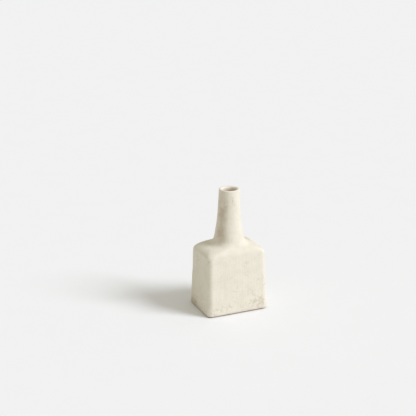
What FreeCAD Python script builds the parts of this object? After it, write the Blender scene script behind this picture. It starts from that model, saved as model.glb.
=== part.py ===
"""Slab-built ceramic bud vase: a drafted rectangular bottle with a domed shoulder and a slender neck.

Frame: millimetres, +Z up, origin at the bottom centre of the vase, on the surface that it stands on.
X runs across the wide faces, and the front face looks along -Y.

The clay body is put together from slabs: a base slab, four walls with mitred corners, a domed shoulder slab
with a round hole, and a neck tube whose spigot passes down through that hole. Coils of clay are pressed into
the inside seams and round the foot of the neck. A slip coat covers the outside and turns in over the lip, a
glaze lines the inside, and four felt pads are glued under the base.

Six helper forms give the pieces their surfaces: the finished outside and the clay's outside, the finished
hollow and the clay's hollow, the room between the walls before the coils go in, and the neck before its bore.
The pieces are what lies between them.
"""

import FreeCAD, Part
import os
import re
import Sketcher

DRIVING = [
    # alias, value in millimetres or degrees, what it is
    ("foot_width", 100.5, "width across the foot, over the slip coat"),
    ("foot_depth", 75.5, "depth across the foot, over the slip coat"),
    ("total_height", 190.0, "from the table to the lip"),
    ("pad_height", 1.0, "thickness of a felt pad"),
    ("pad_radius", 5.0, "radius of a felt pad"),
    ("pad_inset", 14.0, "from a pad's centre to the outside of the foot"),
    ("pad_edge", 0.3, "rounding of a pad's lower edge"),
    ("side_draft", 1.55, "degrees that the left and right walls lean inwards"),
    ("face_draft", 3.55, "degrees that the front and back walls lean inwards"),
    ("wall_top", 91.0, "height of the seam between walls and shoulder"),
    ("shoulder_rise", 12.6, "height of the shoulder's dome above that seam"),
    ("corner_radius", 8.0, "outside vertical corners"),
    ("foot_radius", 2.5, "rounding round the foot"),
    ("foot_bare", 0.7, "bare clay left below the slip coat"),
    ("wall_thick", 5.0, "clay of the walls and of the shoulder"),
    ("base_thick", 6.0, "clay of the base slab"),
    ("coat", 0.5, "thickness of the slip coat and of the glaze inside"),
    ("corner_coil", 7.0, "radius of the coves in the inside corners"),
    ("base_cove", 4.0, "radius of the cove round the inside of the floor"),
    ("fillet_top", 113.5, "height where the neck's foot fillet ends"),
    ("bend_height", 145.0, "height where the neck begins to flare"),
    ("bend_reach", 12.0, "height above and below that the bend takes up"),
    ("neck_low", 22.5, "outside radius of the neck above its foot fillet"),
    ("neck_bend", 17.6, "outside radius of the neck at its bend, if it were sharp"),
    ("neck_top", 15.6, "outside radius of the neck at the lip"),
    ("spigot_step", 1.0, "how much smaller the spigot is than the neck"),
    ("throat", 11.0, "radius of the finished throat"),
    ("throat_length", 30.0, "length of the straight throat below the lip"),
    ("bore_low", 16.0, "radius of the finished bore where it opens into the body"),
    ("lip", 1.5, "rounding on the outside of the lip"),
    ("mouth_edge", 2.9, "rounding on the inside of the lip"),
    ("coat_inside", 8.0, "how far down inside the lip the slip coat reaches"),
    ("near_circle", 0.05, "half the straight part left where a section is all but a circle"),
]
DERIVED = [
    # alias, formula, what it is
    ("side_lean", "=tan(side_draft * 1deg)", "how far a side wall leans in per height"),
    ("face_lean", "=tan(face_draft * 1deg)", "how far the front or back wall leans in per height"),
    ("seam_wide", "=foot_width / 2 - (wall_top - pad_height) * side_lean", "half width at the seam"),
    ("seam_deep", "=foot_depth / 2 - (wall_top - pad_height) * face_lean", "half depth at the seam"),
    ("clay_inner", "=coat + wall_thick", "inset of the clay's inner surface"),
    ("floor", "=pad_height + base_thick", "height of the clay floor"),
    ("coil_top", "=floor + corner_coil", "height where base coil and corner coils meet"),
    ("taper", "=(neck_bend - neck_top) / (total_height - bend_height)", "lean of the upper neck"),
    ("flare", "=(neck_low - neck_bend) / (bend_height - fillet_top)", "lean of the lower neck"),
    ("glaze_line", "=total_height - coat_inside", "height where slip coat and glaze meet"),
    ("reach", "=foot_width", "a length that passes well outside the vase"),
]
DOME_ANGLES = (0, 13, 26, 39, 52, 65)
SEAT_ANGLE = DOME_ANGLES[-1]
COVE_ANGLES = (0, 30, 60, 90)
FILLET_STEPS = (0.25, 0.5, 0.75, 1.0)

doc = FreeCAD.newDocument("bud_vase")
sheet = doc.addObject("Spreadsheet::Sheet", "Sizes")
for row, (alias, value, note) in enumerate(DRIVING + DERIVED, start=1):
    sheet.set(f"A{row}", note)
    sheet.set(f"B{row}", str(value))
    sheet.setAlias(f"B{row}", alias)
doc.recompute()
SEAT = f"(#wall_top + (#shoulder_rise - #coat) * sin({SEAT_ANGLE}deg))"


# Expressions: in all of them `#word` stands for the sheet's cell with that alias.


def bound(text):
    """The expression as FreeCAD reads it."""
    return re.sub(r"#(\w+)", r"Sizes.\1", text)


def number(text):
    """What the expression comes to now."""
    value = sheet.evalExpression(bound(text))
    return float(getattr(value, "Value", value))


# Level sections of a form, each one (half width, half depth, corner radius, height).
# `inset` is how far the form's surface lies inside the finished outside.


def wall_section(height, inset, corner):
    """A section through the drafted walls."""
    wide = f"(#foot_width / 2 - ({height} - #pad_height) * #side_lean - {inset})"
    deep = f"(#foot_depth / 2 - ({height} - #pad_height) * #face_lean - {inset})"
    return wide, deep, corner, height


def cove_section(angle, inset, corner, skin):
    """A section of the cove round the floor, a quarter circle from the floor (0 degrees) to the wall (90)."""
    radius = f"(#base_cove - {skin})"
    inwards = f"({radius} * (1 - sin({angle}deg)))"
    height = f"(#floor + {skin} + {radius} * (1 - cos({angle}deg)))"
    return wall_section(height, f"({inset} + {inwards})", f"({corner} - {inwards})")


def dome_section(angle, inset, corner, crown):
    """A section of the dome, a quarter ellipse from the seam (0 degrees) in to the radius `crown` (90)."""
    out = f"cos({angle}deg)"
    wide = f"({crown} + (#seam_wide - {inset} - {crown}) * {out})"
    deep = f"({crown} + (#seam_deep - {inset} - {crown}) * {out})"
    rounding = f"({corner} + ({deep} - #near_circle - {corner}) * (1 - {out}))"
    return wide, deep, rounding, f"(#wall_top + (#shoulder_rise - {inset}) * sin({angle}deg))"


def fillet_section(step, inset, corner):
    """A section of the fillet that sweeps up from the dome (step 0) into the neck (step 1)."""
    wide, deep, rounding, seat = dome_section(SEAT_ANGLE, inset, corner, f"(#neck_low - {inset})")
    start, middle, end = (1 - step) ** 2, 2 * step * (1 - step), step**2
    bend = f"({seat} + (#shoulder_rise - {inset}) * cos({SEAT_ANGLE}deg)^2 / sin({SEAT_ANGLE}deg))"
    neck = f"(#neck_low - {inset} - #near_circle)"
    spread = f"(#neck_low - {inset} + (#fillet_top - {bend}) * #flare)"

    def blend(low, centre, high):
        return f"({start} * {low} + {middle} * {centre} + {end} * {high})"

    half_wide, half_deep = blend(wide, spread, neck), blend(deep, spread, neck)
    corner_here = blend(rounding, f"({spread} - #near_circle)", f"({neck} - #near_circle)")
    return half_wide, half_deep, corner_here, blend(seat, bend, "#fillet_top")


# Sketches and features


def origin_plane(body, role):
    return next(item for item in body.Origin.OriginFeatures if item.Role == role)


def new_sketch(body, name, role, offset="0"):
    sketch = body.newObject("Sketcher::SketchObject", name)
    sketch.AttachmentSupport = [(origin_plane(body, role), "")]
    sketch.MapMode = "FlatFace"
    if offset != "0":
        sketch.setExpression("AttachmentOffset.Base.z", bound(offset))
    return sketch


def dimension(sketch, name, text, kind, *where):
    """Adds one dimension to a sketch and binds it to an expression."""
    index = sketch.addConstraint(Sketcher.Constraint(kind, *where, number(text)))
    sketch.renameConstraint(index, name)
    sketch.setExpression(f"Constraints.{name}", bound(text))


def hold(sketch, name, geometry, x, y):
    """Holds the start of an edge at (x, y), both expressions."""
    for kind, text, zero_line in (("DistanceX", x, -2), ("DistanceY", y, -1)):
        if text == "0":
            sketch.addConstraint(Sketcher.Constraint("PointOnObject", geometry, 1, zero_line))
        else:
            dimension(sketch, f"{name}_{kind[-1].lower()}", text, kind, -1, 1, geometry, 1)


def outline(body, name, role, points, height="0", arc=None):
    """A closed outline through points. `arc` is (number, radius) of an edge that is round, anticlockwise."""
    sketch = new_sketch(body, name, role, height)
    here = [FreeCAD.Vector(number(x), number(y), 0) for x, y in points]
    count = len(points)
    for n, start in enumerate(here):
        end = here[(n + 1) % count]
        if arc and n == arc[0]:
            radius, half_chord = number(arc[1]), (end - start) / 2
            outward = FreeCAD.Vector(half_chord.y, -half_chord.x, 0).normalize()
            bulge = radius - (radius**2 - half_chord.Length**2) ** 0.5
            sketch.addGeometry(Part.Arc(start, start + half_chord + outward * bulge, end))
        else:
            sketch.addGeometry(Part.LineSegment(start, end))
    for n in range(count):
        sketch.addConstraint(Sketcher.Constraint("Coincident", n, 2, (n + 1) % count, 1))
    for n, (x, y) in enumerate(points):
        hold(sketch, f"point_{n}", n, x, y)
    if arc:
        dimension(sketch, "radius", arc[1], "Radius", arc[0])
    return sketch


def section_sketch(body, name, section):
    """A sketch of one level section: a centred rectangle with rounded corners, the corner arcs first."""
    wide, deep, corner, height = section
    sketch = new_sketch(body, name, "XY_Plane", height)
    a, b, r = number(wide), number(deep), number(corner)
    starts = [(a, b - r), (r - a, b), (-a, r - b), (a - r, -b)]
    ends = [(a - r, b), (-a, b - r), (r - a, -b), (a, r - b)]
    for n, turn in enumerate([(1, 1), (-1, 1), (-1, -1), (1, -1)]):
        centre = FreeCAD.Vector(turn[0] * (a - r), turn[1] * (b - r), 0)
        middle = centre + FreeCAD.Vector(*turn, 0).normalize() * r
        sketch.addGeometry(Part.Arc(FreeCAD.Vector(*starts[n], 0), middle, FreeCAD.Vector(*ends[n], 0)))
    for n in range(4):
        start, end = ends[n], starts[(n + 1) % 4]
        sketch.addGeometry(Part.LineSegment(FreeCAD.Vector(*start, 0), FreeCAD.Vector(*end, 0)))
    for n in range(4):
        sketch.addConstraint(Sketcher.Constraint("Tangent", n, 2, 4 + n, 1))
        sketch.addConstraint(Sketcher.Constraint("Tangent", 4 + n, 2, (n + 1) % 4, 1))
    for n in range(1, 4):
        sketch.addConstraint(Sketcher.Constraint("Equal", 0, n))
    sketch.addConstraint(Sketcher.Constraint("Horizontal", 4))
    dimension(sketch, "radius", corner, "Radius", 0)
    dimension(sketch, "back", deep, "DistanceY", -1, 1, 4, 1)
    dimension(sketch, "left", f"-{wide}", "DistanceX", -1, 1, 5, 1)
    dimension(sketch, "front", f"-{deep}", "DistanceY", -1, 1, 6, 1)
    dimension(sketch, "right", wide, "DistanceX", -1, 1, 7, 1)
    return sketch


def loft(body, name, sections, ruled=False):
    """Adds a loft through level sections to a body."""
    sketches = [section_sketch(body, f"{name}_{n}", section) for n, section in enumerate(sections)]
    feature = body.newObject("PartDesign::AdditiveLoft", name)
    feature.Profile = sketches[0]
    feature.Sections = sketches[1:]
    feature.Ruled = ruled
    doc.recompute()


def revolve(body, name, points, arc=None):
    """Adds a turned shape to a body: points are (radius, height)."""
    sketch = outline(body, f"{name}_section", "XZ_Plane", points, arc=arc)
    feature = body.newObject("PartDesign::Revolution", name)
    feature.Profile = sketch
    feature.ReferenceAxis = (sketch, ["V_Axis"])
    feature.Angle = 360
    doc.recompute()


def round_edges(body, name, height, radius):
    """Rounds every edge of the body that lies wholly at one height."""
    level = number(height)
    feature = body.Tip
    names = []
    for n, edge in enumerate(feature.Shape.Edges, start=1):
        box = edge.BoundBox
        if abs(box.ZMin - level) < 1e-3 and abs(box.ZMax - level) < 1e-3:
            names.append(f"Edge{n}")
    rounded = body.newObject("PartDesign::Fillet", name)
    rounded.Base = (feature, names)
    rounded.setExpression("Radius", bound(radius))
    doc.recompute()


def boolean(kind, name, base, *tools):
    """Cuts each tool from the base ("Cut"), or keeps what the base has in common with each ("Common")."""
    for n, tool in enumerate(tools, start=1):
        step = doc.addObject(f"Part::{kind}", name if n == len(tools) else f"{name}_step_{n}")
        step.Base = base
        step.Tool = tool
        base = step
    doc.recompute()
    return base


def block(name, low, high):
    """A box between two corners, three expressions each."""
    box = doc.addObject("Part::Box", name)
    for size, start, end in zip(("Length", "Width", "Height"), low, high):
        box.setExpression(size, bound(f"{end} - {start}"))
    for axis, start in zip("xyz", low):
        box.setExpression(f"Placement.Base.{axis}", bound(start))
    doc.recompute()
    return box


def flat_sided(name, plan, low, high):
    """A solid with flat sides between two heights, where plan(height) gives the corners of its section."""
    body = doc.addObject("PartDesign::Body", name)
    bottom = outline(body, f"{name}_bottom", "XY_Plane", plan(low), height=low)
    top = outline(body, f"{name}_top", "XY_Plane", plan(high), height=high)
    feature = body.newObject("PartDesign::AdditiveLoft", f"{name}_loft")
    feature.Profile = bottom
    feature.Sections = [top]
    feature.Ruled = True
    doc.recompute()
    return body


def layer(name, bottom, top):
    """A box that takes in everything between two heights."""
    return block(name, ("(-#reach)", "(-#reach)", bottom), ("#reach", "#reach", top))


# Helper forms


def add_neck(body, inset, lower_end):
    """Turns the neck's outside without its bore, down to the points of its `lower_end`."""
    top = f"(#total_height - {inset})"
    outside = [
        ("0", top),
        (f"(#neck_top - {inset})", top),
        (f"(#neck_bend - #bend_reach * #taper - {inset})", "(#bend_height + #bend_reach)"),
        (f"(#neck_bend + #bend_reach * #flare - {inset})", "(#bend_height - #bend_reach)"),
        (f"(#neck_low - {inset})", "#fillet_top"),
    ]
    bend = (2, "(2 * #bend_reach / (#flare - #taper))")
    revolve(body, f"{body.Name}_neck", [*outside, *lower_end], arc=bend)
    round_edges(body, f"{body.Name}_lip", top, f"#lip - {inset}")


def outside_form(name, inset):
    """The solid outside of the vase, `inset` inside the finished one: walls, dome, fillet and neck."""
    body = doc.addObject("PartDesign::Body", name)
    corner = f"(#corner_radius - {inset})"
    bottom = f"(#pad_height - #coat + {inset})"
    loft(body, f"{name}_walls", [wall_section(z, inset, corner) for z in (bottom, "#wall_top")], ruled=True)
    dome = [dome_section(angle, inset, corner, f"(#neck_low - {inset})") for angle in DOME_ANGLES]
    fillet = [fillet_section(step, inset, corner) for step in FILLET_STEPS]
    loft(body, f"{name}_shoulder", [*dome, *fillet])
    round_edges(body, f"{name}_foot", bottom, f"#foot_radius - {inset}")
    add_neck(body, inset, [("0", "#fillet_top")])
    return body


def hollow_form(name, skin):
    """The hollow of the vase, with its surface `skin` inside the clay's."""
    body = doc.addObject("PartDesign::Body", name)
    inset = f"(#clay_inner + {skin})"
    corner = f"(#corner_coil - {skin})"
    coves = [cove_section(angle, inset, corner, skin) for angle in COVE_ANGLES]
    loft(body, f"{name}_cove", coves)
    loft(body, f"{name}_room", [coves[-1], wall_section("#wall_top", inset, corner)], ruled=True)
    crown = f"(#bore_low + #coat - {skin})"
    loft(body, f"{name}_dome", [dome_section(angle, inset, corner, crown) for angle in DOME_ANGLES])
    throat = f"(#throat + #coat - {skin})"
    bore = [
        ("0", "(#total_height + #lip)"),
        ("(#throat + #mouth_edge)", "(#total_height + #lip)"),
        ("(#throat + #mouth_edge)", f"(#total_height - #coat + {skin})"),
        (throat, "(#total_height - #mouth_edge)"),
        (throat, "(#total_height - #throat_length)"),
        (crown, "(#wall_top + #shoulder_rise)"),
        (crown, "#wall_top"),
        ("0", "#wall_top"),
    ]
    revolve(body, f"{name}_bore", bore, arc=(2, f"(#mouth_edge - #coat + {skin})"))
    return body


def wall_room():
    """The room between the walls before any coil goes in, with sharp corners."""

    def corners(height):
        wide, deep, _, _ = wall_section(height, "#clay_inner", "0")
        return [(f"(-{wide})", f"(-{deep})"), (wide, f"(-{deep})"), (wide, deep), (f"(-{wide})", deep)]

    return flat_sided("wall_room", corners, "#floor", "#wall_top")


def neck_blank():
    """The neck's clay before it is bored: the outside of the neck and the spigot below it."""
    body = doc.addObject("PartDesign::Body", "neck_blank")
    spigot = "(#neck_low - #coat - #spigot_step)"
    add_neck(body, "#coat", [(spigot, "#fillet_top"), (spigot, "#wall_top"), ("0", "#wall_top")])
    return body


# The pieces


def base_slab(clay):
    """The flat slab that the walls stand on, with the rounded foot."""
    return boolean("Common", "base_slab", clay, layer("base_layer", "0", "#floor"))


def wall_share(side):
    """The space on one side of the vase, between mitre planes that follow the leaning corners."""
    sign = "-" if side in ("front", "left") else ""

    def plan(height):
        wide, deep, _, _ = wall_section(height, "0", "0")
        ridge = f"({wide} - {deep})"
        far_x, far_y = f"({wide} + #reach)", f"({deep} + #reach)"
        if side in ("left", "right"):
            far = [(f"({sign}{far_x})", f"({end}{far_y})") for end in ("", "-")]
            return [(f"({sign}{ridge})", "0"), *far]
        far = [(f"({end}{far_x})", f"({sign}{far_y})") for end in ("", "-")]
        return [(f"(-{ridge})", "0"), (ridge, "0"), *far]

    return flat_sided(f"{side}_share", plan, "0", "#total_height")


def walls(clay, room):
    """Four wall slabs that meet in mitres at the corners."""
    zone = boolean("Common", "wall_zone", clay, layer("wall_layer", "#floor", "#wall_top"))
    ring = boolean("Cut", "wall_ring", zone, room)
    sides = ("front", "back", "left", "right")
    return [boolean("Common", f"{side}_wall", ring, wall_share(side)) for side in sides]


def coils(room, hollow):
    """The clay pressed into the inside seams: a ring round the floor, and one coil up each corner."""
    filling = boolean("Cut", "coil_filling", room, hollow)
    made = [boolean("Common", "base_coil", filling, layer("base_coil_layer", "#floor", "#coil_top"))]
    for across in ("left", "right"):
        for along in ("front", "back"):
            low_x, high_x = ("(-#reach)", "0") if across == "left" else ("0", "#reach")
            low_y, high_y = ("(-#reach)", "0") if along == "front" else ("0", "#reach")
            low, high = (low_x, low_y, "#coil_top"), (high_x, high_y, "#wall_top")
            quarter = block(f"{along}_{across}_quarter", low, high)
            made.append(boolean("Common", f"{along}_{across}_coil", filling, quarter))
    return made


def shoulder_slab(clay, hollow, neck):
    """The domed slab on top of the walls, with the hole that takes the neck's spigot."""
    dome = boolean("Common", "shoulder_solid", clay, layer("shoulder_layer", "#wall_top", SEAT))
    return boolean("Cut", "shoulder_slab", dome, hollow, neck)


def neck_coil(clay, neck):
    """The coil smoothed round the foot of the neck, which makes the fillet between neck and shoulder."""
    fillet = boolean("Common", "neck_coil_solid", clay, layer("neck_coil_layer", SEAT, "#fillet_top"))
    return boolean("Cut", "neck_coil", fillet, neck)


def slip_coat(outside, clay_body, finished_hollow, hollow):
    """The coat over the outside, from the bare foot line over the lip and a little way down the throat."""
    foot = layer("foot_layer", "0", "(#pad_height + #foot_bare)")
    lined = boolean("Common", "lined_part", hollow, layer("lined_layer", "0", "#glaze_line"))
    return boolean("Cut", "slip_coat", outside, clay_body, finished_hollow, foot, lined)


def liner_glaze(hollow, finished_hollow):
    """The glaze over floor, walls, dome and bore, up to where the slip coat begins."""
    solid = boolean("Common", "liner_solid", hollow, layer("liner_layer", "0", "#glaze_line"))
    return boolean("Cut", "liner_glaze", solid, finished_hollow)


def felt_pads():
    """Four felt discs under the corners of the base."""
    made = []
    for along in ("front", "back"):
        for across in ("left", "right"):
            body = doc.addObject("PartDesign::Body", f"{along}_{across}_pad")
            edge = "(#pad_radius - #pad_edge)"
            profile = [("0", "0"), (edge, "0"), ("#pad_radius", "#pad_edge"), ("#pad_radius", "#pad_height"),
                       ("0", "#pad_height")]
            revolve(body, f"{body.Name}_disc", profile)
            sign_x = "-" if across == "left" else ""
            sign_y = "-" if along == "front" else ""
            body.setExpression("Placement.Base.x", bound(f"{sign_x}(#foot_width / 2 - #pad_inset)"))
            body.setExpression("Placement.Base.y", bound(f"{sign_y}(#foot_depth / 2 - #pad_inset)"))
            made.append(body)
    doc.recompute()
    return made


def build():
    outside, clay = outside_form("finished_outside", "0"), outside_form("clay_outside", "#coat")
    finished_hollow, hollow = hollow_form("finished_hollow", "#coat"), hollow_form("clay_hollow", "0")
    room, neck = wall_room(), neck_blank()
    clay_body = boolean("Cut", "clay_body", clay, hollow)
    return [
        base_slab(clay),
        *walls(clay, room),
        *coils(room, hollow),
        shoulder_slab(clay, hollow, neck),
        boolean("Cut", "neck_tube", neck, hollow),
        neck_coil(clay, neck),
        slip_coat(outside, clay_body, finished_hollow, hollow),
        liner_glaze(hollow, finished_hollow),
        *felt_pads(),
    ]


os.makedirs("parts", exist_ok=True)
pieces = build()
for item in doc.Objects:
    assert not {"Invalid", "Error"} & set(item.State), f"{item.Name}: {item.State}"
for piece in pieces:
    piece.Label = piece.Name
    assert not piece.Shape.isNull() and piece.Shape.isValid(), f"{piece.Name}: bad shape"
    assert len(piece.Shape.Solids) == 1, f"{piece.Name}: {len(piece.Shape.Solids)} solids"
    piece.Shape.exportStep(f"parts/{piece.Name}.step")
    print(f"{piece.Name}: {piece.Shape.Volume / 1000:.2f} cm3")
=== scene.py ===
"""The slab-built bud vase as it looks: a matte cream slip over a hand-built bottle, on a pale seamless floor.

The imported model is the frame. The skin of slip that shows replaces the CAD's slip coat: it follows the same
outline, and adds what hands and a kiln leave in clay. Everything is in metres.
"""

import math
import bpy
import numpy as np
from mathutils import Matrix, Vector, noise


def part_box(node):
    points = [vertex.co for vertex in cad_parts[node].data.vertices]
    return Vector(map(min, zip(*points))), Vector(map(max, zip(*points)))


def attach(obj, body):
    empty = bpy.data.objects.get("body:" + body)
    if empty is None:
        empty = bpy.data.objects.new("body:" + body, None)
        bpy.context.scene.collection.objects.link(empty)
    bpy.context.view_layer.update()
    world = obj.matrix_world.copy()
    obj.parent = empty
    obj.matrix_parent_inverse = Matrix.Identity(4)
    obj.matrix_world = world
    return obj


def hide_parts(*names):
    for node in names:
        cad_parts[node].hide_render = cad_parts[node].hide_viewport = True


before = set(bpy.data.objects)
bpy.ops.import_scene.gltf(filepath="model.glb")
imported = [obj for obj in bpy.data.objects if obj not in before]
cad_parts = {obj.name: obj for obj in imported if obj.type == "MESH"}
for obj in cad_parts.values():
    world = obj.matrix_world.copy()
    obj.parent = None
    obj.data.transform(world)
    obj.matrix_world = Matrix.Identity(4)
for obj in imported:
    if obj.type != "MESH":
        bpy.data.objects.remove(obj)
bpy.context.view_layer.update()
MM = 0.001

# The outline. Heights and widths come from the frame's pieces, and the rest are sizes that a box can't tell.
FOOT_LINE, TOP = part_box("slip_coat")[0].z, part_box("slip_coat")[1].z
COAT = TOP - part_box("neck_tube")[1].z
PAD_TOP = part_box("front_left_pad")[1].z
FOOT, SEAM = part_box("right_wall")[0].z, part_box("right_wall")[1].z
FILLET_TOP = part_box("neck_coil")[1].z
NECK_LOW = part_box("neck_tube")[1].x + COAT
FOOT_HALF = (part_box("right_wall")[1].x + COAT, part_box("back_wall")[1].y + COAT)
SEAM_HALF = (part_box("shoulder_slab")[1].x + COAT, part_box("shoulder_slab")[1].y + COAT)
CORNER = 8 * MM
FOOT_ROUND = 2.5 * MM
SEAT_ANGLE = math.radians(65)
RISE = (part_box("shoulder_slab")[1].z - SEAM) / math.sin(SEAT_ANGLE) + COAT
NECK_BEND, NECK_TOP = 17.6 * MM, 15.6 * MM
BEND_HEIGHT, BEND_REACH = 145 * MM, 12 * MM
THROAT, LIP, MOUTH_EDGE, COAT_INSIDE = 11 * MM, 1.5 * MM, 2.9 * MM, 8 * MM
FLARE = (NECK_LOW - NECK_BEND) / (BEND_HEIGHT - FILLET_TOP)
TAPER = (NECK_BEND - NECK_TOP) / (TOP - BEND_HEIGHT)

# How finely each stretch of the outline is worked out, before its sections are spaced evenly.
FOOT_ROWS, DOME_ROWS, FILLET_ROWS, NECK_ROWS, LIP_ROWS, MOUTH_ROWS = 8, 40, 24, 80, 10, 14

# The mesh of the skin: points in a ring, and the steps between rings.
COLUMNS = 320
ROW_STEP, NECK_STEP, BACK_STEP = 0.75 * MM, 1.2 * MM, 4 * MM

# The slip's relief. It goes in by less than the coat's thickness, so that the clay never shows.
SWELL, LUMP, SCRAPE = 0.15 * MM, 0.35 * MM, 0.13 * MM
CRACK_DEPTH, PIT_DEPTH, DEEPEST = 0.25 * MM, 0.30 * MM, 0.30 * MM

# The view and the light: (azimuth, elevation) in degrees.
CAMERA_PLACE, CAMERA_HEADING = (-24.8, 20.83), (156.52, -18.49)
CAMERA_DISTANCE, CAMERA_LENS = 1.484, 83.6
KEY_PLACE = (48.5, 40)


def mix(a, b, t):
    """The value a part `t` of the way from a to b."""
    return a + (b - a) * t


def wall_half(height):
    """(half width, half depth) of the finished walls at a height."""
    part = (height - FOOT) / (SEAM - FOOT)
    return [mix(low, high, part) for low, high in zip(FOOT_HALF, SEAM_HALF)]


def foot_sections(inset):
    """The rounded foot, from the foot line up to where the walls start."""
    rounding = FOOT_ROUND - inset
    middle = PAD_TOP - COAT + inset + rounding
    low = math.asin((middle - FOOT_LINE) / rounding)
    wide, deep = wall_half(middle)
    sections = []
    for angle in np.linspace(-low, 0, FOOT_ROWS):
        pulled = inset + rounding * (1 - math.cos(angle))
        height = middle + rounding * math.sin(angle)
        sections.append((wide - pulled, deep - pulled, CORNER - pulled, height))
    return sections


def dome_sections(inset):
    """The dome of the shoulder, from the seam above the walls in to the seat of the neck."""
    wide, deep = [half - inset for half in wall_half(SEAM)]
    corner, crown = CORNER - inset, NECK_LOW - inset
    sections = []
    for angle in np.linspace(0, SEAT_ANGLE, DOME_ROWS):
        out = math.cos(angle)
        level = (mix(crown, wide, out), mix(crown, deep, out))
        height = SEAM + (RISE - inset) * math.sin(angle)
        sections.append((*level, mix(level[1], corner, out), height))
    return sections


def fillet_sections(inset, seat):
    """The fillet, a parabola from the dome's last section `seat` to the foot of the neck."""
    crown = NECK_LOW - inset
    bend = seat[3] + (RISE - inset) * math.cos(SEAT_ANGLE) ** 2 / math.sin(SEAT_ANGLE)
    spread = crown + (FILLET_TOP - bend) * FLARE
    sections = []
    for t in np.linspace(0, 1, FILLET_ROWS)[1:]:
        ends = zip(seat, (spread, spread, spread, bend), (crown, crown, crown, FILLET_TOP))
        sections.append(tuple(mix(mix(a, b, t), mix(b, c, t), t) for a, b, c in ends))
    return sections


def neck_sections(inset):
    """The neck: a flare and a taper with a soft bend between them."""
    sections = []
    for height in np.linspace(FILLET_TOP, TOP - LIP, NECK_ROWS)[1:]:
        below = max(0.0, BEND_HEIGHT + BEND_REACH - height)
        in_bend = min(below, 2 * BEND_REACH)
        radius = NECK_BEND - inset + (BEND_HEIGHT - height) * TAPER
        radius += (FLARE - TAPER) * (in_bend**2 / (4 * BEND_REACH) + (below - in_bend))
        sections.append((radius, radius, radius, height))
    return sections


def mouth_sections(inset):
    """Round the outside of the lip, round the edge of the mouth and down the throat."""
    sections = []
    edge = LIP - inset
    for angle in np.linspace(0, math.pi / 2, LIP_ROWS)[1:]:
        radius = NECK_TOP + LIP * TAPER - LIP + edge * math.cos(angle)
        sections.append((radius, radius, radius, TOP - LIP + edge * math.sin(angle)))
    edge = MOUTH_EDGE - inset
    for angle in np.linspace(math.pi / 2, math.pi, MOUTH_ROWS):
        radius = THROAT + MOUTH_EDGE + edge * math.cos(angle)
        sections.append((radius, radius, radius, TOP - MOUTH_EDGE + edge * math.sin(angle)))
    throat = THROAT + inset
    sections.append((throat, throat, throat, TOP - COAT_INSIDE))
    return sections


def outline(inset):
    """Level sections (half width, half depth, corner radius, height) from the foot line up and over the lip.

    `inset` 0 gives the surface of the slip, and COAT the clay under it.
    """
    dome = dome_sections(inset)
    body = foot_sections(inset) + dome + fillet_sections(inset, dome[-1])
    return np.array(body + neck_sections(inset) + mouth_sections(inset))


def spaced(sections, step, neck_step):
    """The sections taken at even steps along the profile, with a step of its own on the neck."""
    lengths = np.hypot(np.diff(sections[:, 0]), np.diff(sections[:, 3]))
    on_neck = (sections[1:, 3] > FILLET_TOP) & (sections[1:, 3] < TOP - LIP)
    along = np.concatenate([[0], np.cumsum(lengths / np.where(on_neck, neck_step, step))])
    places = np.linspace(0, along[-1], int(round(along[-1])) + 1)
    return np.stack([np.interp(places, along, column) for column in sections.T], axis=1)


def ring(section):
    """Points round a level section at even arc lengths, anticlockwise from the middle of the right side."""
    wide, deep, corner, height = section
    side, arc, front = deep - corner, corner * math.pi / 2, wide - corner
    turn = np.arange(COLUMNS) / COLUMNS * 4
    quarter = turn.astype(int)
    part = turn - quarter
    along = np.where(quarter % 2 == 0, part, 1 - part) * (side + arc + front)
    angle = np.clip((along - side) / corner, 0, math.pi / 2)
    x = wide - corner + corner * np.cos(angle) - np.maximum(along - side - arc, 0)
    y = np.minimum(along, side) + corner * np.sin(angle)
    flip_x = np.where((quarter == 1) | (quarter == 2), -1, 1)
    flip_y = np.where(quarter >= 2, -1, 1)
    return np.stack([x * flip_x, y * flip_y, np.full(COLUMNS, height)], axis=1)


def mesh_object(name, points, faces):
    """A smooth-shaded object made from points and faces."""
    mesh = bpy.data.meshes.new(name)
    mesh.from_pydata([tuple(p) for p in points], [], faces)
    mesh.validate()
    mesh.update()
    piece = bpy.data.objects.new(name, mesh)
    bpy.context.scene.collection.objects.link(piece)
    for face in mesh.polygons:
        face.use_smooth = True
    return piece


def outward(grid):
    """Unit normals of a grid of points, rows going up and columns anticlockwise."""
    across = np.roll(grid, -1, axis=1) - np.roll(grid, 1, axis=1)
    up = np.gradient(grid, axis=0)
    normal = np.cross(across, up)
    return normal / np.linalg.norm(normal, axis=2, keepdims=True)


def field(points, size, octaves, seed):
    """Fractal noise at every point, with features of about `size`."""
    shift = Vector((seed * 7.3, seed * 3.1, seed * 5.7))
    return np.array([noise.fractal(Vector(p) / size + shift, 1.0, 2.0, octaves) for p in points])


def cells(points, size):
    """For every point the distance to the nearest cell centre, and how much further the second one is."""
    nearest = np.array([noise.voronoi(Vector(p) / size)[0][:2] for p in points]) * size
    return nearest[:, 0], nearest[:, 1] - nearest[:, 0]


def smooth(value):
    """0 below 0 and 1 above 1, with an easy bend between."""
    part = np.clip(value, 0, 1)
    return part * part * (3 - 2 * part)


def near(points, place, reach):
    """1 at a place, fading to 0 at `reach` (x, y, z) from it. Both are in millimetres."""
    return smooth(1 - np.linalg.norm((points / MM - place) / reach, axis=1))


def bulged(points):
    """The outline with the bulges of its soft walls: (place, reach, push) of each, in millimetres."""
    bulges = [
        ((-46, 24, 84), (20, 30, 26), (-0.6, 0.0, 0.0)),
        ((0, -35, 55), (62, 40, 62), (0.0, -0.9, 0.0)),
        ((0, 35, 55), (62, 40, 62), (0.0, 0.7, 0.0)),
        ((48, -32, 8), (20, 30, 20), (0.7, 0.0, 0.0)),
    ]
    moved = points.copy()
    for place, reach, push in bulges:
        moved += near(points, place, reach)[:, None] * np.array(push) * MM
    return moved


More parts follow.
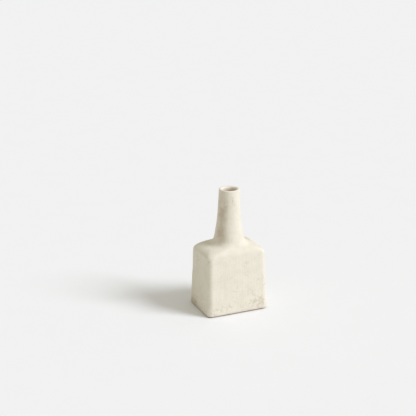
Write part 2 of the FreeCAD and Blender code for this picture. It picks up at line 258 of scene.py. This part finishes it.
def crackle(points):
    """Depth from 0 to 1 of the fine cracks: most of them low down, and two patches on the front."""
    cell, width = 9 * MM, 0.9 * MM
    wander = 2.0 * MM * np.stack([field(points, 5 * MM, 2, seed) for seed in (5, 6, 7)], axis=1)
    line = smooth(1.25 - cells(points + wander, cell)[1] / width)
    low = smooth(1 - points[:, 2] / (36 * MM))
    patches = near(points, (18, -36, 28), (12, 12, 20)) + near(points, (32, -36, 16), (16, 12, 14))
    there = smooth(2.2 * (field(points, 13 * MM, 2, 8) + 0.55 * low + 0.8 * patches - 0.38))
    return line * there


def pitting(points):
    """Depth from 0 to 1 of small pits and open bubbles in the slip."""
    apart, size = 5.5 * MM, 1.3 * MM
    centre = cells(points + 40 * MM, apart)[0]
    low = smooth(1 - points[:, 2] / (60 * MM))
    there = smooth(2.5 * (field(points, 11 * MM, 2, 9) + 0.4 * low - 0.35))
    return smooth(1.3 - centre / size) * there


def stains_and_painted_shade(points):
    """Strength from 0 to 1 of the warm brown that shows through where the slip is thin, mixed with painted
    shade: partly on the shaded left side of the neck and along the foot line, and wholly on the back slope of
    the right shoulder.
    """
    # Darker along the foot line and at the back-left foot corner: partly brown where the slip is thin at the
    # foot, partly painted contact shade where the vase meets the floor.
    foot = 0.5 * smooth(1 - (points[:, 2] - FOOT_LINE) / (4 * MM))
    foot += 1.3 * near(points, (-50, 20, 3), (14, 30, 13))
    # Partly a brown smear on the neck, partly painted shade on the neck's shaded left side.
    neck = 1.4 * near(points, (-16, -7, 156), (14, 14, 46))
    neck += 1.1 * near(points, (-18, -10, 120), (15, 15, 26))
    # Painted shade on the back slope of the right shoulder, which faces away from the key light.
    shoulder = 0.9 * near(points, (33, 8, 103), (10, 12, 6))
    marks = 0.5 * near(points, (14, -34, 80), (8, 10, 5)) + 0.4 * near(points, (34, -36, 15), (12, 10, 8))
    patchy = 0.8 + 0.6 * field(points, 9 * MM, 3, 11)
    return np.clip((foot + neck + shoulder + marks) * patchy, 0, 1)


def raised(points, cracks, pits, inside):
    """How far each point of the surface stands out: fades away at the foot line and down the mouth."""
    height = points[:, 2]
    lumps = LUMP * field(points, 38 * MM, 2, 1)
    scrape = SCRAPE * field(points, 7 * MM, 3, 2) * np.clip((80 * MM - height) / (60 * MM), 0.3, 1)
    relief = SWELL + lumps + scrape - CRACK_DEPTH * cracks - PIT_DEPTH * pits
    relief = np.maximum(relief, -DEEPEST) * np.clip((height - FOOT_LINE) / (3 * MM), 0, 1)
    return relief * (1 - smooth(2 * inside))


def shell_faces(rows):
    """Four-sided faces between neighbouring rings, with the last ring joined to the first."""
    faces = []
    for row in range(rows):
        above = (row + 1) % rows
        for column in range(COLUMNS):
            beside = (column + 1) % COLUMNS
            faces.append((row * COLUMNS + column, row * COLUMNS + beside,
                          above * COLUMNS + beside, above * COLUMNS + column))
    return faces


def slip_skin():
    """The visible slip as one closed thin shell: its surface, then back along the clay behind it."""
    front = spaced(outline(0), ROW_STEP, NECK_STEP)
    back = spaced(outline(COAT), BACK_STEP, BACK_STEP)[::-1]
    surface = np.array([ring(section) for section in front])
    behind = np.array([ring(section) for section in back])
    flat = surface.reshape(-1, 3)
    past_lip = np.arange(len(front)) > np.argmax(front[:, 3])
    inside = np.repeat(np.where(past_lip, (TOP - front[:, 3]) / COAT_INSIDE, 0), COLUMNS)
    cracks, pits = crackle(flat), pitting(flat)
    relief = raised(flat, cracks, pits, inside).reshape(surface.shape[:2])
    surface = bulged(flat).reshape(surface.shape) + outward(surface) * relief[:, :, None]
    grid = np.concatenate([surface, behind])
    piece = mesh_object("slip_skin", grid.reshape(-1, 3), shell_faces(len(grid)))
    masks = {"crack": cracks, "pit": pits, "stain_and_shade": stains_and_painted_shade(flat), "inside": inside}
    for name, values in masks.items():
        attribute = piece.data.attributes.new(name, "FLOAT", "POINT")
        attribute.data.foreach_set("value", np.concatenate([values, np.ones(behind[..., 0].size)]))
    return piece


# Materials


class Material:
    """A new node material, with short ways to add the nodes that all of them use."""

    def __init__(self, name, roughness, specular):
        self.data = bpy.data.materials.new(name)
        self.data.use_nodes = True
        self.nodes, self.links = self.data.node_tree.nodes, self.data.node_tree.links
        self.shader = self.nodes["Principled BSDF"]
        self.shader.inputs["Roughness"].default_value = roughness
        self.shader.inputs["Specular IOR Level"].default_value = specular
        self.place = self.nodes.new("ShaderNodeTexCoord").outputs["Object"]

    def noise(self, size, detail=3.0, stretch=(1, 1, 1)):
        """Noise with features of about `size`, made longer along each axis by `stretch`."""
        mapping = self.nodes.new("ShaderNodeMapping")
        mapping.inputs["Scale"].default_value = [1 / length for length in stretch]
        texture = self.nodes.new("ShaderNodeTexNoise")
        texture.inputs["Scale"].default_value = 1 / size
        texture.inputs["Detail"].default_value = detail
        self.links.new(self.place, mapping.inputs["Vector"])
        self.links.new(mapping.outputs["Vector"], texture.inputs["Vector"])
        return texture.outputs["Fac"]

    def mask(self, name):
        """A value kept in the mesh."""
        node = self.nodes.new("ShaderNodeAttribute")
        node.attribute_name = name
        return node.outputs["Fac"]

    def ramp(self, value, low, high):
        """The value stretched so that `low` becomes 0 and `high` becomes 1."""
        node = self.nodes.new("ShaderNodeMapRange")
        node.inputs["From Min"].default_value = low
        node.inputs["From Max"].default_value = high
        self.links.new(value, node.inputs["Value"])
        return node.outputs["Result"]

    def colour(self, start, *layers):
        """Uses a first colour with (value, colour) layers over it, each as strong as its value."""
        below = None
        for value, tint in layers:
            node = self.nodes.new("ShaderNodeMix")
            node.data_type = "RGBA"
            node.inputs["A"].default_value = (*start, 1)
            node.inputs["B"].default_value = (*tint, 1)
            self.links.new(value, node.inputs["Factor"])
            if below:
                self.links.new(below, node.inputs["A"])
            below = node.outputs["Result"]
        self.links.new(below, self.shader.inputs["Base Color"])

    def bump(self, *layers):
        """Raises the surface by (value, height) layers."""
        below = None
        for value, height in layers:
            node = self.nodes.new("ShaderNodeBump")
            node.inputs["Distance"].default_value = height
            self.links.new(value, node.inputs["Height"])
            if below:
                self.links.new(below, node.inputs["Normal"])
            below = node.outputs["Normal"]
        self.links.new(below, self.shader.inputs["Normal"])


def slip_material():
    """Matte cream slip, mottled, with brown where it is thin, in the cracks and down the mouth, painted shade
    on the neck's left side, along the foot line and on the back of the right shoulder, and painted light as a
    paler cream just inside the lip.
    """
    slip = Material("slip", 0.78, 0.25)
    slip.colour(
        (0.775, 0.728, 0.628),
        (slip.ramp(slip.noise(16 * MM), 0.45, 0.75), (0.735, 0.678, 0.572)),
        (slip.ramp(slip.noise(3 * MM, 5), 0.55, 0.85), (0.70, 0.635, 0.52)),
        # Brown where the slip is thin, with painted shade on the neck's left side, along the foot line and on
        # the back of the right shoulder.
        (slip.ramp(slip.mask("stain_and_shade"), 0, 1.5), (0.50, 0.405, 0.295)),
        (slip.ramp(slip.mask("pit"), 0, 3.2), (0.46, 0.37, 0.27)),
        (slip.ramp(slip.mask("crack"), 0, 3.0), (0.46, 0.37, 0.27)),
        # Painted light: the inside of the mouth below the lip is a paler cream than the outside, to lighten
        # the shade in it.
        (slip.ramp(slip.mask("inside"), 0.0, 0.15), (0.86, 0.81, 0.72)),
        (slip.ramp(slip.mask("inside"), 0.5, 1.1), (0.60, 0.42, 0.29)),
    )
    grain = slip.noise(1.2 * MM, 4)
    streaks = slip.noise(2.5 * MM, 3, (1, 1, 14))
    rows = slip.noise(3 * MM, 3, (9, 9, 1))
    slip.bump((grain, 0.10 * MM), (streaks, 0.22 * MM), (rows, 0.18 * MM))
    return slip.data


def liner_material():
    """Honey-brown glaze, glossy and a little uneven."""
    liner = Material("liner glaze", 0.28, 0.5)
    pale = liner.ramp(liner.noise(9 * MM), 0.4, 0.7)
    liner.colour((0.56, 0.38, 0.25), (pale, (0.66, 0.50, 0.36)))
    liner.bump((liner.noise(6 * MM, 2), 0.25 * MM))
    return liner.data


def clay_material():
    """Fired buff clay, dry and sandy, with dark specks."""
    clay = Material("buff clay", 0.92, 0.2)
    clay.colour(
        (0.52, 0.38, 0.26),
        (clay.ramp(clay.noise(12 * MM), 0.4, 0.7), (0.44, 0.31, 0.20)),
        (clay.ramp(clay.noise(1.4 * MM, 1), 0.66, 0.74), (0.18, 0.12, 0.08)),
    )
    clay.bump((clay.noise(0.8 * MM, 4), 0.15 * MM))
    return clay.data


def felt_material():
    """Grey-brown pressed felt."""
    felt = Material("felt", 1.0, 0.1)
    felt.shader.inputs["Sheen Weight"].default_value = 0.4
    fibres = felt.noise(0.9 * MM, 5, (3, 1, 1))
    felt.colour((0.20, 0.17, 0.14), (felt.ramp(fibres, 0.35, 0.7), (0.34, 0.30, 0.25)))
    felt.bump((fibres, 0.2 * MM))
    return felt.data


def dress_frame():
    """Gives each of the frame's own pieces its material."""
    clay, liner, felt = clay_material(), liner_material(), felt_material()
    for name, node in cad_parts.items():
        node.data.materials.clear()
        if name.endswith("pad"):
            node.data.materials.append(felt)
        elif name == "liner_glaze":
            node.data.materials.append(liner)
        else:
            node.data.materials.append(clay)


# Surroundings


def backdrop():
    """A wide level floor of pale matte paper."""
    reach = 12.0
    corners = [(-reach, -reach, 0), (reach, -reach, 0), (reach, reach, 0), (-reach, reach, 0)]
    piece = mesh_object("backdrop", corners, [(0, 1, 2, 3)])
    paper = Material("pale paper", 1.0, 0.0)
    cloudy = paper.ramp(paper.noise(60 * MM), 0.3, 0.7)
    paper.colour((0.85, 0.845, 0.847), (cloudy, (0.843, 0.838, 0.84)))
    piece.data.materials.append(paper.data)


def direction(azimuth, elevation):
    """Unit vector from the vase towards a place: azimuth 0 is in front of it, 90 on its right."""
    a, e = math.radians(azimuth), math.radians(elevation)
    return Vector((math.sin(a) * math.cos(e), -math.cos(a) * math.cos(e), math.sin(e)))


def face(piece, heading):
    """Turns a camera or a lamp to look along a direction."""
    piece.rotation_mode = "QUATERNION"
    piece.rotation_quaternion = heading.to_track_quat("-Z", "Y")


def room_light():
    """Even light from a room whose walls are warmer than its ceiling."""
    world = bpy.data.worlds.new("soft white room")
    world.use_nodes = True
    nodes, links = world.node_tree.nodes, world.node_tree.links
    place = nodes.new("ShaderNodeTexCoord")
    parts = nodes.new("ShaderNodeSeparateXYZ")
    ramp = nodes.new("ShaderNodeValToRGB")
    links.new(place.outputs["Generated"], parts.inputs[0])
    links.new(parts.outputs["Z"], ramp.inputs["Fac"])
    ramp.color_ramp.elements[0].color = (0.74, 0.705, 0.40, 1)
    ramp.color_ramp.elements[1].color = (1.215, 1.20, 1.115, 1)
    ramp.color_ramp.elements[1].position = 0.6
    links.new(ramp.outputs["Color"], nodes["Background"].inputs["Color"])
    nodes["Background"].inputs["Strength"].default_value = 0.50
    bpy.context.scene.world = world


def key_light():
    """A broad soft lamp far off to the right of the camera, and higher."""
    lamp = bpy.data.lights.new("key", "SUN")
    lamp.angle = math.radians(24)
    lamp.energy = 2.58
    lamp.color = (0.875, 0.91, 1.0)
    key = bpy.data.objects.new("key", lamp)
    bpy.context.scene.collection.objects.link(key)
    face(key, -direction(*KEY_PLACE))


def camera():
    """A long lens that looks down at the vase from the front left."""
    data = bpy.data.cameras.new("camera")
    data.lens = CAMERA_LENS
    piece = bpy.data.objects.new("camera", data)
    piece.location = Vector((0, 0, TOP / 2)) + direction(*CAMERA_PLACE) * CAMERA_DISTANCE
    bpy.context.scene.collection.objects.link(piece)
    face(piece, direction(*CAMERA_HEADING))
    bpy.context.scene.camera = piece


def colour_management():
    """Colours go to the picture as they are."""
    view = bpy.context.scene.view_settings
    view.view_transform = "Standard"
    view.look = "None"


skin = slip_skin()
skin.data.materials.append(slip_material())
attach(skin, "root")
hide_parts("slip_coat")
dress_frame()
backdrop()
room_light()
key_light()
camera()
colour_management()
